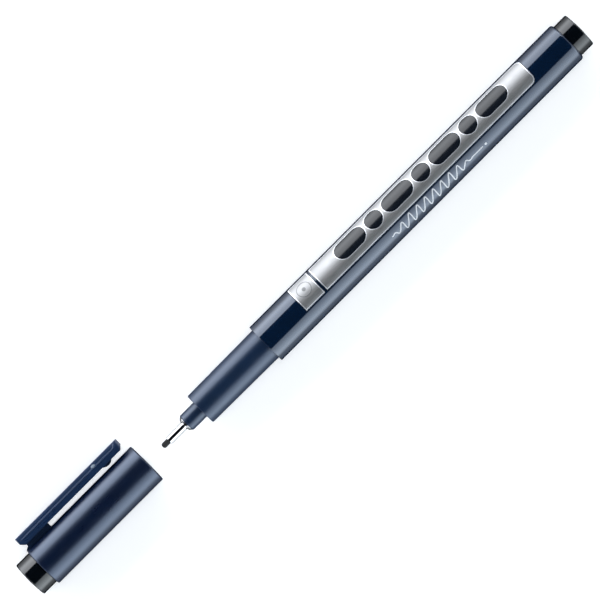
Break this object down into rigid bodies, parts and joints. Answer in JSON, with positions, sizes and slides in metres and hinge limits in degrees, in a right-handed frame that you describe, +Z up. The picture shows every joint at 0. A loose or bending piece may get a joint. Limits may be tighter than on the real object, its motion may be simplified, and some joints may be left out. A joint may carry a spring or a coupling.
{
  "type": "technical pen",
  "caption": "Fibre-tip technical pen with a steel-sleeved nib, slim grip, long glossy barrel with a foil label, and a pull-off clip cap lying in line in front of the nib.",
  "frame": {"origin": "middle of the bounding box's footprint, on the surface that the barrel lies on", "axes": "+X along the pen from the cap towards the rear plug, +Y the way the clip stands out, +Z up"},
  "size_m": [0.1766, 0.0142, 0.0105],
  "materials": {
    "barrel_navy": "polished, deep navy blue",
    "grip_navy": "satin, fine moulded texture, navy blue",
    "cap_navy": "satin gloss, navy blue",
    "clip_navy": "satin gloss, navy blue",
    "plug_black": "polished black",
    "foil": "brushed silver foil under clear lacquer",
    "steel": "drawn stainless tube, bright",
    "nib_fibre": "bonded fibre soaked with black ink",
    "ink_fibre": "polyester fibre bundle soaked with black ink",
    "film": "thin clear-to-milky film",
    "inner_natural": "natural polypropylene"
  },
  "bodies": {
    "pen": {"barrel": "barrel_navy", "label_badge": "foil", "label_panel": "foil", "rear_plug": "plug_black", "grip_section": "grip_navy", "nib_holder": "grip_navy", "nib_sleeve": "steel", "fibre_nib": "nib_fibre", "ink_reservoir": "ink_fibre", "reservoir_film": "film"},
    "cap": {"cap_shell": "cap_navy", "cap_plug": "plug_black", "inner_cap": "inner_natural"},
    "clip": {"pocket_clip": "clip_navy"}
  },
  "joints": [
    {"name": "cap_slide", "type": "slide", "parent": "pen", "child": "cap", "axis": [1, 0, 0], "range_m": [0, 0.0379]},
    {"name": "clip_flex", "type": "hinge", "parent": "cap", "child": "clip", "pos_m": [-0.08391, 0.00339, 0.00525], "axis": [0, 0, 1], "range_deg": [0, 3], "stiffness_Nm_per_rad": 1.2}
  ]
}
